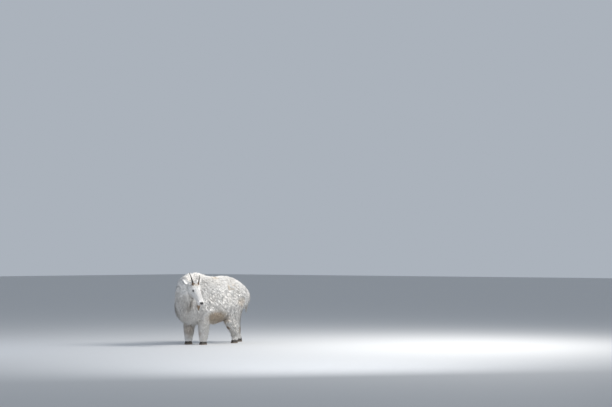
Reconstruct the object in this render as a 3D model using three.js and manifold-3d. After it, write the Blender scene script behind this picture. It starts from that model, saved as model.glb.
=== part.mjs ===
// A mountain goat standing with one hind foot drawn back, its head low and turned to its left.
// Lengths are millimetres and angles degrees. The goat faces -Y, its left side is +X and +Z is up.
// The stance is set out from the middle of the two fore feet on the ground, and moved at the end so
// that the origin lies under the middle of the whole animal.
import * as THREE from "three";
import { mergeVertices } from "three/addons/utils/BufferGeometryUtils.js";
import Module from "manifold-3d";

const wasm = await Module();
wasm.setup();

// The trunk, out to the tips of its coat, as [distance back from the fore feet, size] pairs
const TOPLINE = [[-335, 640], [-300, 770], [-240, 880], [-165, 938], [-90, 958], [0, 964], [100, 948],
  [220, 920], [330, 914], [500, 930], [650, 908], [770, 862], [860, 808], [930, 742], [985, 665]];
const UNDERLINE = [[-335, 500], [-300, 405], [-240, 345], [-180, 312], [-100, 296], [0, 284], [150, 272],
  [330, 280], [500, 322], [650, 385], [770, 436], [860, 480], [930, 545], [985, 610]];
const GIRTH_HALF = [[-335, 30], [-300, 112], [-240, 158], [-180, 180], [-100, 194], [0, 200], [150, 200],
  [330, 206], [500, 204], [650, 198], [770, 184], [860, 158], [930, 124], [985, 52]];
// Depth of the coat over the skin of the trunk: along the back, on the flanks and under the belly
const BACK_COAT = [[-335, 60], [-90, 92], [60, 90], [250, 54], [600, 50], [985, 44]];
const FLANK_COAT = [[-335, 20], [-240, 70], [-100, 54], [150, 46], [500, 48], [800, 50], [985, 20]];
const BELLY_COAT = [[-335, 60], [-120, 110], [300, 112], [600, 100], [800, 60], [985, 30]];

// The neck: its middle line from inside the shoulders to the back of the skull, and its half sizes
const NECK_LINE = [[0, 60, 640], [-25, -95, 682], [5, -208, 712], [92, -290, 742], [216, -296, 762]];
const NECK_CREST = [[0, 250], [0.3, 258], [0.55, 212], [0.8, 138], [1, 82]];
const NECK_THROAT = [[0, 240], [0.3, 292], [0.55, 276], [0.8, 186], [1, 96]];
const NECK_HALF = [[0, 150], [0.3, 156], [0.55, 134], [0.8, 106], [1, 76]];
const CREST_COAT = [[0, 80], [0.5, 78], [1, 30]];
const THROAT_COAT = [[0, 90], [0.5, 104], [1, 36]];
const SIDE_COAT = [[0, 50], [0.5, 50], [1, 18]];

// The head hangs from the middle of its horn bases: forward to the nose, up to the forehead, left
const HORN_MIDDLE = [284, -296, 816];
const HEAD_TURN = 74;
const HEAD_DROP = 39;
const HEAD_SCALE = 1.06;
const FACE_TOP = [[-86, -60], [-58, -16], [-20, 2], [25, 2], [70, -8], [120, -22], [170, -34], [215, -43],
  [250, -54], [275, -70], [288, -88]];
const JAW_LINE = [[-86, -92], [-58, -128], [-15, -152], [35, -156], [90, -146], [140, -134], [190, -126],
  [230, -127], [258, -123], [278, -110], [288, -97]];
const HEAD_HALF = [[-86, 20], [-58, 54], [-10, 66], [45, 67], [85, 59], [130, 49], [175, 43], [215, 42],
  [245, 41], [270, 33], [288, 11]];
const HEAD_RINGS = [-84, -72, -50, -20, 15, 50, 85, 122, 158, 190, 220, 246, 266, 280, 286];

// Horns: even curves that leave the brow upright to the face and sweep back
const HORN_LENGTH = { left: 138, right: 174 };
const HORN_ROOT_HALF = 19;
const HORN_TIP_HALF = 2.4;
const HORN_SPACING_HALF = 30;
const HORN_SEAT = [14, -6];
const HORN_LEAN = [26, 66];
const HORN_SPLAY = 15;
const HORN_STUB = 16;
const BROW_SWELL = 6;
// The box that takes each horn off its stub: behind to in front, inner to outer side, and up
const HORN_REGION = { behind: -300, ahead: 60, inner: 27, outer: 110, foot: 7, top: 300 };

// Ears stand out to the sides: how far each reaches to its own side, ahead and up
const EAR_WAY = [0.72, -0.3, 0.62];
const EAR_PLACE = [-44, -42, 50];
const EAR_LENGTH = 118;
const EAR_HALF = 27;
const EAR_THICK_HALF = 13;
const EAR_WALL = 5;
const EAR_ROOT = 20;

const EYE_RADIUS = 15;
const EYE_GAP = 0.6;
const EYE_SIDES = [8, 6];
const EYE_PLACE = [76, -42, 44];
const LID_DEPTH = 3.5;
const LID_STRETCH = [1.15, 1, 1];
const LID_OPENING = { radius: 14, stretch: [1.12, 1.4, 0.6], slope: 14, out: 20 };
const NOSTRIL = { place: [266, -76, 24], radius: 8, stretch: [1.25, 0.75, 0.55], slope: 38 };
const MOUTH_DROP = -100;
const MOUTH_SLOPE = -2;
const MOUTH_CUT = { from: 192, half: 1.3, depth: 9 };
const LIPS = { from: 196, to: 290, below: -9, above: 8, swell: 2.2 };
const LIP_RINGS_FROM = 8;
const HEAD_REGION = [[-66, -125, -190], [330, 125, 130]];

// Feet, as [left or right, back] of the middle of the fore feet
const FEET = {
  foreleg_left: [114, 20],
  foreleg_right: [-114, -30],
  hindleg_left: [118, 620],
  hindleg_right: [-118, 955],
};
// Each row of a leg: [height, middle in front of or behind the foot, half width, half length, coat]
const FORE_LEG = [[50, 0, 42, 50, 6], [66, 2, 48, 56, 12], [100, 5, 58, 66, 24], [150, 8, 65, 74, 30],
  [210, 10, 71, 82, 36], [270, 14, 75, 88, 40], [340, 20, 76, 92, 44], [410, 28, 74, 94, 46],
  [490, 38, 68, 92, 40], [600, 45, 50, 74, 25]];
const HIND_LEG = [[50, 0, 40, 46, 6], [66, 4, 44, 52, 10], [100, 10, 50, 58, 16], [150, 8, 58, 72, 26],
  [200, -12, 68, 96, 40], [250, -42, 76, 110, 46], [310, -66, 84, 126, 50], [370, -76, 90, 136, 52],
  [430, -66, 94, 142, 52], [510, -44, 92, 138, 46], [600, -16, 76, 124, 34]];
const STRIDE_TOP = 640;
const HIP_BACK = 700;
const CORONET = 50;
// Rows of a hoof: [height, middle behind the foot, share of the half width, share of the half length]
const HOOF_ROWS = [[0, -4, 1.06, 1.12], [14, -3, 1.04, 1.08], [34, 0, 0.94, 0.96], [CORONET, 3, 0.86, 0.86]];
const HOOF_HALF = { fore: [38, 46], hind: [34, 42] };
const CLEFTS = [[[-4, -80, -5], [4, -6, 38]], [[-3, -10, -5], [3, 80, 24]]];
const FORE_REGION = { half: 108, behind: 90, inner: 20, outer: 330, top: 404, slope: 0 };
const HIND_REGION = { half: 190, behind: 90, inner: 20, outer: 330, top: 452, slope: 12 };

const TAIL_LINE = [[0, 905, 742], [0, 962, 716], [0, 984, 640], [0, 984, 540], [0, 978, 430]];
const TAIL_HALF = [[0, 34], [0.3, 40], [0.6, 34], [0.85, 20], [1, 5]];
const TAIL_THICK = [[0, 26], [0.3, 28], [0.6, 24], [0.85, 15], [1, 4]];
const TAIL_END = 0.86;
const TAIL_SEAT = [0, 938, 700];
const TAIL_LEAN = 20;
const TAIL_REGION = [[-90, 0, -500], [90, 300, 60]];
const BEARD_LENGTH = 112;
const BEARD_HALF = 34;
const BEARD_PLACE = [205, -112, 0];
const BEARD_SEAT = [205, -142, 0];
const BEARD_REGION = [[-70, -80, -200], [70, 80, 0]];

// Locks: [share of the length, depth in the coat] from the sunk root to the tip, and how they narrow
const LOCK_STEPS = [[-0.06, 0.95], [0.3, 0.3], [0.68, 0.08], [1, 0]];
const LOCK_TAPER = [0.85, 1, 0.72];
const LOCK_SEED = 7;
// A row of locks is [place, from, to, count, reach along, reach round, width, thickness], and its
// angles count from the top down each side
const TRUNK_LOCKS = [[-318, 30, 165, 3, 120, 24, 110, 15], [-235, 5, 170, 4, 160, 24, 125, 18],
  [-105, 0, 172, 5, 185, 20, 130, 19], [45, 0, 172, 5, 190, 18, 135, 18], [200, 0, 172, 4, 185, 18, 150, 16],
  [355, 0, 172, 4, 185, 18, 150, 16], [510, 0, 165, 4, 180, 20, 125, 16], [655, 0, 150, 3, 165, 24, 150, 16],
  [785, 0, 140, 3, 140, 28, 120, 16]];
const NECK_LOCKS = [[0.97, 5, 165, 3, -0.32, 22, 90, 12], [0.74, 0, 172, 3, -0.36, 24, 125, 16],
  [0.48, 0, 140, 3, -0.32, 22, 125, 18]];
const FORE_LOCKS = [[360, 30, 175, 2, -150, 8, 92, 14], [250, 10, 170, 2, -140, 6, 92, 12],
  [160, 10, 170, 2, -105, 6, 84, 9]];
const HIND_LOCKS = [[490, 20, 160, 2, -165, 10, 125, 15], [370, 10, 170, 2, -160, 8, 120, 15],
  [250, 10, 170, 2, -140, 6, 96, 12]];
const TAIL_LOCKS = [[0.3, 20, 160, 1, 0.42, 0, 56, 9], [0.56, 20, 160, 1, 0.42, 0, 44, 7]];
const BEARD_LOCKS = [[0.14, 0, 180, 2, 0.86, 0, 38, 7], [0.4, 10, 170, 1, 0.6, 0, 34, 6]];
const CORE = 0.55;
const TRUNK_RINGS = [-326, -305, -275, -166, -57, 52, 161, 270, 380, 489, 598, 707, 816, 925, 965];

// The slanting seam between the neck and the shoulders
const SHOULDER_WAY = [0.1, -0.72, 0.68];
const SHOULDER_AT = [0, -150, 760];

const SEAM = 0.3;
const PLAY = 1;
const WELD = 0.06;
const SHEET_GIVE = 0.04;
const STANCE = [-110, -306, 0];
const TRUNK_SIDES = 18;
const NECK_SIDES = 16;
const HEAD_SIDES = 14;
const LEG_SIDES = 8;
const COAT_WHITE = 0xe9e4da;
const HORN_BLACK = 0x1c1917;

const RAD = Math.PI / 180;
const UP = new THREE.Vector3(0, 0, 1);
const vec = (a) => new THREE.Vector3(...a);
const mix = (a, b, t) => a + (b - a) * t;
const steps = (from, to, count) =>
  Array.from({ length: count }, (_, i) => mix(from, to, i / (count - 1)));

// A smooth line through [place, size] pairs
function size(pairs, place) {
  const last = pairs.length - 1;
  const s = Math.min(Math.max(place, pairs[0][0]), pairs[last][0]);
  let i = 0;
  while (i < last - 1 && s > pairs[i + 1][0]) i += 1;
  const slope = (k) => {
    const a = pairs[Math.max(k - 1, 0)];
    const b = pairs[Math.min(k + 1, last)];
    return (b[1] - a[1]) / (b[0] - a[0]);
  };
  const [p, q] = [pairs[i], pairs[i + 1]];
  const w = q[0] - p[0];
  const t = (s - p[0]) / w;
  const rise = t * t * (3 - 2 * t);
  const leave = t * (1 - t) * (1 - t) * w * slope(i);
  const arrive = t * t * (t - 1) * w * slope(i + 1);
  return mix(p[1], q[1], rise) + leave + arrive;
}

// A closed three.js geometry as a solid that can be joined and cut
function solid(geometry, matrix) {
  let g = geometry.clone();
  g.deleteAttribute("normal");
  g.deleteAttribute("uv");
  g = mergeVertices(g, 1e-4);
  if (matrix) g.applyMatrix4(matrix);
  return new wasm.Manifold(
    new wasm.Mesh({
      numProp: 3,
      vertProperties: new Float32Array(g.attributes.position.array),
      triVerts: new Uint32Array(g.index.array),
    }),
  );
}

// A skin drawn over rings of points, closed at each end by a fan to a tip or to the ring's middle
function loft(rings, startTip, endTip) {
  const sides = rings[0].length;
  const points = rings.flat();
  const middle = (ring) =>
    ring.reduce((sum, p) => sum.add(p), new THREE.Vector3()).divideScalar(ring.length);
  const first = points.push(startTip || middle(rings[0])) - 1;
  const last = points.push(endTip || middle(rings[rings.length - 1])) - 1;
  const top = (rings.length - 1) * sides;
  const faces = [];
  for (let s = 0; s < sides; s += 1) {
    const n = (s + 1) % sides;
    for (let r = 0; r < top; r += sides) {
      faces.push(r + s, r + n, r + n + sides, r + s, r + n + sides, r + s + sides);
    }
    faces.push(n, s, first, top + s, top + n, last);
  }
  let volume = 0;
  for (let f = 0; f < faces.length; f += 3) {
    const [a, b, c] = [points[faces[f]], points[faces[f + 1]], points[faces[f + 2]]];
    volume += a.dot(b.clone().cross(c));
  }
  if (volume < 0) faces.reverse();
  const g = new THREE.BufferGeometry().setFromPoints(points);
  g.setIndex(faces);
  return solid(g);
}

// One point of a rounded section at an angle: 0 is the left side and 90 the top
function around(section, angle) {
  const { at, side, up, top, bottom, half, wide = 0.5, crown = 1, keel = 1 } = section;
  const c = Math.cos(angle * RAD);
  const s = Math.sin(angle * RAD);
  const middle = mix(bottom, top, wide);
  const across = half * Math.sign(c) * Math.abs(c) ** (s > 0 ? crown : keel);
  const high = middle + (s > 0 ? top - middle : middle - bottom) * s;
  return at.clone().addScaledVector(side, across).addScaledVector(up, high);
}

const ring = (section, sides) =>
  Array.from({ length: sides }, (_, k) => around(section, (k * 360) / sides));

// The trunk at a distance back; depth 0 is the tips of the coat and 1 the skin
function trunk(back, depth) {
  return {
    at: new THREE.Vector3(0, back, 0),
    side: new THREE.Vector3(1, 0, 0),
    up: UP,
    top: size(TOPLINE, back) - depth * size(BACK_COAT, back),
    bottom: size(UNDERLINE, back) + depth * size(BELLY_COAT, back),
    half: size(GIRTH_HALF, back) - depth * size(FLANK_COAT, back),
    wide: 0.46,
    crown: 0.92,
    keel: 0.86,
  };
}

const neckCurve = new THREE.CatmullRomCurve3(NECK_LINE.map(vec), false, "centripetal");

function neck(along, depth) {
  const place = Math.min(Math.max(along, 0), 1);
  const forward = neckCurve.getTangent(place);
  const side = UP.clone().cross(forward).normalize();
  return {
    at: neckCurve.getPoint(place),
    side,
    up: forward.clone().cross(side),
    top: size(NECK_CREST, along) - depth * size(CREST_COAT, along),
    bottom: -size(NECK_THROAT, along) + depth * size(THROAT_COAT, along),
    half: size(NECK_HALF, along) - depth * size(SIDE_COAT, along),
    wide: 0.46,
  };
}

// The head's own directions, and a place in it by distances forward, up and left
const turn = HEAD_TURN * RAD;
const drop = HEAD_DROP * RAD;
const AHEAD = new THREE.Vector3(Math.sin(turn), -Math.cos(turn), 0);
const FORWARD = AHEAD.clone().multiplyScalar(Math.cos(drop)).addScaledVector(UP, -Math.sin(drop));
const LEFT = new THREE.Vector3(Math.cos(turn), Math.sin(turn), 0);
const DORSAL = FORWARD.clone().cross(LEFT);
const headPoint = (forward, up, left) =>
  vec(HORN_MIDDLE)
    .addScaledVector(FORWARD, forward * HEAD_SCALE)
    .addScaledVector(DORSAL, up * HEAD_SCALE)
    .addScaledVector(LEFT, left * HEAD_SCALE);

function head(forward, inset) {
  return {
    at: headPoint(forward, 0, 0),
    side: LEFT,
    up: DORSAL,
    top: (size(FACE_TOP, forward) - inset) * HEAD_SCALE,
    bottom: (size(JAW_LINE, forward) + inset) * HEAD_SCALE,
    half: (size(HEAD_HALF, forward) - inset) * HEAD_SCALE,
    wide: 0.56,
    crown: 0.86,
    keel: 0.92,
  };
}

// A leg at a height: a hind leg slants from the hip to wherever its foot is set down
function leg(name, height, depth) {
  const hind = name.startsWith("hind");
  const rows = hind ? HIND_LEG : FORE_LEG;
  const foot = FEET[name];
  const column = (i) => size(rows.map((row) => [row[0], row[i]]), height);
  const hip = hind ? HIP_BACK : foot[1];
  const set = mix(foot[1], hip, Math.min(height / STRIDE_TOP, 1));
  const coat = column(4) * depth;
  return {
    at: new THREE.Vector3(foot[0], set + column(1), height),
    side: new THREE.Vector3(1, 0, 0),
    up: new THREE.Vector3(0, 1, 0),
    top: column(3) - coat,
    bottom: coat - column(3),
    half: column(2) - coat,
  };
}

// Random draws that come out the same each time
let seed = LOCK_SEED;
function random() {
  seed = (seed * 1664525 + 1013904223) % 4294967296;
  return seed / 4294967296;
}
const vary = (value, share) => value * (1 + share * (2 * random() - 1));

// One flat lock that tapers to a tip, with a ridge along its back
function lock(path, outward, width, thick) {
  const rings = path.slice(0, -1).map((p, i) => {
    const way = path[i + 1].clone().sub(path[Math.max(i - 1, 0)]);
    const across = way.cross(outward[i]).normalize().multiplyScalar((width * LOCK_TAPER[i]) / 2);
    const ridge = p.clone().addScaledVector(outward[i], thick * LOCK_TAPER[i]);
    return [p.clone().add(across), ridge, p.clone().sub(across)];
  });
  return loft(rings, null, path[path.length - 1]);
}

// Locks in staggered rows over a surface, each from its root to its tip along the lie of the coat
function locks(surface, rows) {
  const made = [];
  rows.forEach(([place, from, to, count, along, round, width, thick], row) => {
    for (const s of [1, -1]) {
      for (let i = 0; i < count; i += 1) {
        const stagger = (i + 0.5 + (row % 2 ? 0.25 : -0.25)) / count;
        const angle = mix(from, to, stagger) + 5 * (random() - 0.5);
        const start = place + 0.12 * along * (random() - 0.5);
        const length = vary(1, 0.16);
        const path = LOCK_STEPS.map(([t, depth]) =>
          surface(start + along * length * t, 90 - s * (angle + round * length * t), depth),
        );
        const outward = LOCK_STEPS.map(([t]) => {
          const a = 90 - s * (angle + round * length * t);
          const u = start + along * length * t;
          return surface(u, a, 0).sub(surface(u, a, 1)).normalize();
        });
        made.push(lock(path, outward, vary(width, 0.15), thick));
      }
    }
  });
  return made;
}

const frameMatrix = (x, y, z, at) => new THREE.Matrix4().makeBasis(x, y, z).setPosition(at);
const headFrame = (forward, up, left) => frameMatrix(FORWARD, LEFT, DORSAL, headPoint(forward, up, left));

// A box grown or shrunk on all sides, which takes one part out of the whole
function block(low, high, grow, matrix) {
  const lo = vec(low).subScalar(grow);
  const hi = vec(high).addScalar(grow);
  const extent = hi.clone().sub(lo);
  const g = new THREE.BoxGeometry(extent.x, extent.y, extent.z);
  g.translate((lo.x + hi.x) / 2, (lo.y + hi.y) / 2, (lo.z + hi.z) / 2);
  return solid(g, matrix);
}

function ball(radius, at, across, down, stretch = new THREE.Vector3(1, 1, 1)) {
  const g = new THREE.SphereGeometry(radius, across, down);
  g.scale(stretch.x, stretch.y, stretch.z);
  return solid(g, at);
}

const largest = (whole) => whole.decompose().reduce((a, b) => (b.volume() > a.volume() ? b : a));

const nodes = {};
const SIDES = [["left", 1], ["right", -1]];

// Takes the part inside a box out of the whole, leaving a seam between the two, and names it
function part(whole, name, low, high, matrix) {
  nodes[name] = largest(whole.intersect(block(low, high, -SEAM / 2, matrix)));
  return whole.subtract(block(low, high, SEAM / 2, matrix));
}

// The whole body without the head's own features
const trunkSolid = loft(TRUNK_RINGS.map((y) => ring(trunk(y, CORE), TRUNK_SIDES)));
const neckSolid = loft(steps(0, 1, 7).map((t) => ring(neck(t, CORE), NECK_SIDES)));
let body = trunkSolid.add(neckSolid);
for (const name of Object.keys(FEET)) {
  const rows = name.startsWith("hind") ? HIND_LEG : FORE_LEG;
  body = body.add(loft(rows.map((row) => ring(leg(name, row[0], CORE), LEG_SIDES))));
}

// The locks of the trunk, the neck and the legs
const coats = [
  ...locks((u, a, depth) => around(trunk(u, depth), a), TRUNK_LOCKS),
  ...locks((u, a, depth) => around(neck(u, depth), a), NECK_LOCKS),
];
for (const name of Object.keys(FEET)) {
  const rows = name.startsWith("hind") ? HIND_LOCKS : FORE_LOCKS;
  coats.push(...locks((u, a, depth) => around(leg(name, u, depth), a), rows));
}

// The tail hangs behind the rump
const tailCurve = new THREE.CatmullRomCurve3(TAIL_LINE.map(vec), false, "centripetal");
function tail(along, depth) {
  const place = Math.min(Math.max(along, 0), 1);
  const forward = tailCurve.getTangent(place);
  const side = new THREE.Vector3(1, 0, 0);
  return {
    at: tailCurve.getPoint(place),
    side,
    up: side.clone().cross(forward).normalize(),
    top: size(TAIL_THICK, along) * (1 - 0.6 * depth),
    bottom: -size(TAIL_THICK, along) * (1 - 0.6 * depth),
    half: size(TAIL_HALF, along) * (1 - 0.6 * depth),
  };
}
coats.push(...locks((u, a, depth) => around(tail(u, depth), a), TAIL_LOCKS));
body = body.add(loft(steps(0, TAIL_END, 7).map((t) => ring(tail(t, CORE), LEG_SIDES))));
for (const c of coats) body = body.add(c);

// The head: skull and muzzle, lips with the mouth between them, nostrils, lids, and stubs
let skull = loft(HEAD_RINGS.map((f) => ring(head(f, 0), HEAD_SIDES)));
const mouthSlope = headFrame(0, MOUTH_DROP, 0).multiply(
  new THREE.Matrix4().makeRotationY(MOUTH_SLOPE * RAD),
);
const swollen = loft(
  HEAD_RINGS.slice(LIP_RINGS_FROM).map((f) => ring(head(f, -LIPS.swell), HEAD_SIDES)),
);
const { from: lipFrom, to: lipTo, below, above } = LIPS;
skull = skull.add(
  swollen.intersect(block([lipFrom, -EAR_LENGTH, below], [lipTo, EAR_LENGTH, above], 0, mouthSlope)),
);
const { from: mouthFrom, half: mouthHalf, depth: mouthDepth } = MOUTH_CUT;
const mouth = block([mouthFrom, -EAR_LENGTH, -mouthHalf], [lipTo, EAR_LENGTH, mouthHalf], 0, mouthSlope);
skull = skull.subtract(
  mouth.subtract(loft(HEAD_RINGS.map((f) => ring(head(f, mouthDepth), HEAD_SIDES)))),
);

for (const [side, s] of SIDES) {
  const [ahead, up, out] = NOSTRIL.place;
  const nostril = headFrame(ahead, up, s * out).multiply(
    new THREE.Matrix4().makeRotationY(NOSTRIL.slope * RAD),
  );
  skull = skull.subtract(ball(NOSTRIL.radius, nostril, 8, 6, vec(NOSTRIL.stretch)));

  // The eye sits in a ring of lids that opens in an almond
  const eye = headFrame(EYE_PLACE[0], EYE_PLACE[1], s * EYE_PLACE[2]);
  const almond = eye
    .clone()
    .multiply(new THREE.Matrix4().makeRotationY(LID_OPENING.slope * RAD))
    .multiply(new THREE.Matrix4().makeTranslation(0, s * LID_OPENING.out, 0));
  skull = skull.add(ball(EYE_RADIUS + LID_DEPTH, eye, ...EYE_SIDES, vec(LID_STRETCH)));
  skull = skull.subtract(ball(LID_OPENING.radius, almond, 8, 6, vec(LID_OPENING.stretch)));
  skull = skull.subtract(ball(EYE_RADIUS + SEAM, eye, ...EYE_SIDES));
  nodes[`eye_${side}`] = ball(EYE_RADIUS - EYE_GAP, eye, ...EYE_SIDES);
}

// Horns, each leaving a low stub on the brow
function hornCurve(s, length) {
  const points = [headPoint(HORN_SEAT[0], HORN_SEAT[1] - HORN_STUB, s * HORN_SPACING_HALF)];
  const count = 8;
  for (let i = 0; i < count; i += 1) {
    const lean = mix(HORN_LEAN[0], HORN_LEAN[1], i / (count - 1)) * RAD;
    const way = DORSAL.clone().multiplyScalar(Math.cos(lean));
    way.addScaledVector(FORWARD, -Math.sin(lean)).addScaledVector(LEFT, s * Math.tan(HORN_SPLAY * RAD));
    points.push(points[i].clone().addScaledVector(way.normalize(), length / count));
  }
  return new THREE.CatmullRomCurve3(points, false, "centripetal");
}

function horn(s, length, grow) {
  const curve = hornCurve(s, length + HORN_STUB);
  const rings = steps(0, 1, 10).map((t) => {
    const forward = curve.getTangent(t);
    const side = DORSAL.clone().cross(forward).cross(forward).normalize();
    const half = mix(HORN_ROOT_HALF, HORN_TIP_HALF, t ** 0.85) + grow;
    return ring(
      { at: curve.getPoint(t), side, up: forward.clone().cross(side), top: half, bottom: -half, half },
      10,
    );
  });
  return loft(rings);
}

for (const [side, s] of SIDES) {
  const [ahead, up] = HORN_SEAT;
  const length = HORN_LENGTH[side];
  const swell = headFrame(ahead, up - HORN_STUB, s * HORN_SPACING_HALF);
  skull = skull.add(ball(HORN_ROOT_HALF + BROW_SWELL, swell, 10, 6)).add(horn(s, length, 0));
  body = body.subtract(horn(s, length, PLAY));
  const seat = headFrame(ahead, up, s * HORN_SPACING_HALF).multiply(
    new THREE.Matrix4().makeRotationY(-HORN_LEAN[0] * RAD),
  );
  const { behind, ahead: front, inner, outer, foot, top } = HORN_REGION;
  const low = [behind, s > 0 ? -inner : -outer, foot];
  const high = [front, s > 0 ? outer : inner, top];
  skull = part(skull, `horn_${side}`, low, high, seat);
}

// Ears: a leaf with a cup hollowed in its front, on a short root
for (const [side, s] of SIDES) {
  const [ahead, up, out] = EAR_PLACE;
  const root = headPoint(ahead, up, s * out);
  const way = LEFT.clone().multiplyScalar(s * EAR_WAY[0]);
  way.addScaledVector(AHEAD, EAR_WAY[1]).addScaledVector(UP, EAR_WAY[2]).normalize();
  const open = AHEAD.clone().addScaledVector(way, -AHEAD.dot(way)).normalize();
  const broad = open.clone().cross(way);
  const leafRow = (t, grow, lift) => {
    const reach = (EAR_LENGTH - grow) * t;
    const half = EAR_HALF * Math.sin(Math.PI * mix(0.2, 0.98, t)) - grow;
    const top = EAR_THICK_HALF * Math.sin(Math.PI * mix(0.25, 0.97, t)) - grow;
    const at = root.clone().addScaledVector(way, reach).addScaledVector(open, lift);
    return { at, side: broad, up: open, top, bottom: -top, half };
  };
  const leaf = (grow, start, lift) => {
    const rows = steps(start, 1, 6).map((t) => leafRow(t, grow, lift));
    return loft(rows.filter((row) => row.half > 1 && row.top > 0.5).map((row) => ring(row, 8)));
  };
  body = body.subtract(leaf(-PLAY, 0, 0));
  skull = skull.add(leaf(0, -0.25, 0).subtract(leaf(EAR_WALL - 1, 0.3, EAR_WALL)));
  const low = [EAR_ROOT, -EAR_LENGTH / 2, -EAR_LENGTH / 2];
  const high = [2 * EAR_LENGTH, EAR_LENGTH / 2, EAR_LENGTH / 2];
  skull = part(skull, `ear_${side}`, low, high, frameMatrix(way, broad, open, root));
}

// The beard: a short core under the chin, with locks that hang from it to a ragged end
const beardWay = UP.clone().negate().addScaledVector(AHEAD, -0.12).normalize();
const beardSide = LEFT.clone().cross(beardWay).negate();
function beard(along, angle, depth) {
  const half = (BEARD_HALF * (1 - Math.max(along, 0) ** 1.6) + 3) * (1 - 0.5 * depth);
  return headPoint(...BEARD_PLACE)
    .addScaledVector(beardWay, BEARD_LENGTH * along)
    .addScaledVector(LEFT, 0.8 * half * Math.cos(angle * RAD))
    .addScaledVector(beardSide, half * Math.sin(angle * RAD));
}
skull = skull.add(
  loft(steps(-0.05, 0.5, 4).map((t) => steps(0, 300, 6).map((angle) => beard(t, angle, 1)))),
);
for (const c of locks(beard, BEARD_LOCKS)) skull = skull.add(c);
skull = part(skull, "beard", ...BEARD_REGION, frameMatrix(AHEAD, LEFT, UP, headPoint(...BEARD_SEAT)));

// Hooves: two toes joined under the coronet, flat on the ground, with a cleft between them
for (const [name, foot] of Object.entries(FEET)) {
  const [wide, long] = HOOF_HALF[name.startsWith("fore") ? "fore" : "hind"];
  const rings = HOOF_ROWS.map(([height, back, across, along]) => {
    const at = new THREE.Vector3(foot[0], foot[1] + back, height);
    const half = wide * across;
    const top = long * along;
    const side = new THREE.Vector3(1, 0, 0);
    const up = new THREE.Vector3(0, 1, 0);
    return ring({ at, side, up, top, bottom: -top, half, crown: 0.7, keel: 0.8 }, 12);
  });
  const place = new THREE.Matrix4().makeTranslation(foot[0], foot[1], 0);
  const hoof = CLEFTS.reduce((made, [low, high]) => made.subtract(block(low, high, 0, place)), loft(rings));
  nodes[name.replace("leg_", "hoof_")] = hoof.trimByPlane([0, 0, -1], SEAM - CORONET);
}

// The legs leave the trunk at the elbow and the stifle
for (const [name, foot] of Object.entries(FEET)) {
  const region = name.startsWith("fore") ? FORE_REGION : HIND_REGION;
  const s = Math.sign(foot[0]);
  const middle = leg(name, region.top, 0).at;
  const frame = new THREE.Matrix4().makeTranslation(0, middle.y, region.top);
  frame.multiply(new THREE.Matrix4().makeRotationX(region.slope * RAD));
  const low = [Math.min(s * region.inner, s * region.outer), -region.half, -STRIDE_TOP];
  const high = [Math.max(s * region.inner, s * region.outer), region.half + region.behind, 0];
  body = part(body, name, low, high, frame);
}
const tailSeat = new THREE.Matrix4().makeTranslation(...TAIL_SEAT);
tailSeat.multiply(new THREE.Matrix4().makeRotationX(TAIL_LEAN * RAD));
body = part(body, "tail", ...TAIL_REGION, tailSeat);

// The head leaves the neck behind the ears, and the neck leaves the shoulders along a slant
const whole = headFrame(0, 0, 0);
nodes.head = largest(skull.intersect(block(...HEAD_REGION, -SEAM / 2, whole)));
const behindHead = skull.subtract(block(...HEAD_REGION, SEAM / 2, whole));
body = body.subtract(block(...HEAD_REGION, SEAM / 2, whole)).add(behindHead);
const shoulder = vec(SHOULDER_WAY).normalize();
const shoulderAt = shoulder.dot(vec(SHOULDER_AT));
nodes.neck = largest(body.trimByPlane(shoulder.toArray(), shoulderAt + SEAM / 2));
nodes.torso = largest(body.trimByPlane(shoulder.clone().negate().toArray(), SEAM / 2 - shoulderAt));

const DARK = ["horn", "forehoof", "hindhoof", "eye"];

function geometryOf(made) {
  const m = made.getMesh();
  const g = new THREE.BufferGeometry();
  const points = new Float32Array(m.vertProperties);
  partSheets(points, m.triVerts);
  g.setAttribute("position", new THREE.BufferAttribute(points, 3));
  g.setIndex(new THREE.BufferAttribute(new Uint32Array(m.triVerts), 1));
  return g;
}

// Where two sheets of one surface touch at a point, the later point is drawn a little way back
// towards its own neighbours, so that the sheets stay apart
function partSheets(points, faces) {
  const seen = new Map();
  for (let v = 0; v < points.length / 3; v += 1) {
    const key = [0, 1, 2].map((i) => Math.round(points[3 * v + i] * 500)).join();
    if (seen.has(key)) seen.get(key).push(v);
    else seen.set(key, [v]);
  }
  for (const same of seen.values()) {
    for (const v of same.slice(1)) {
      const sum = [0, 0, 0];
      let count = 0;
      for (let f = 0; f < faces.length; f += 3) {
        const corners = [faces[f], faces[f + 1], faces[f + 2]];
        if (!corners.includes(v)) continue;
        for (const c of corners) {
          if (c === v) continue;
          count += 1;
          for (let i = 0; i < 3; i += 1) sum[i] += points[3 * c + i];
        }
      }
      for (let i = 0; i < 3; i += 1) {
        points[3 * v + i] = mix(points[3 * v + i], sum[i] / count, SHEET_GIVE);
      }
    }
  }
}

const model = new THREE.Group();
for (const [name, made] of Object.entries(nodes)) {
  const g = geometryOf(largest(largest(made).simplify(WELD)));
  const color = DARK.includes(name.split("_")[0]) ? HORN_BLACK : COAT_WHITE;
  const mesh = new THREE.Mesh(g, new THREE.MeshStandardMaterial({ color, roughness: 0.8, metalness: 0 }));
  mesh.name = name;
  mesh.position.set(...STANCE);
  model.add(mesh);
}

export default model;
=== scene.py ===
# A mountain goat in long white coat, as a life-size still model.
import math

import bpy
import numpy as np
from mathutils import Matrix, Vector


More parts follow.
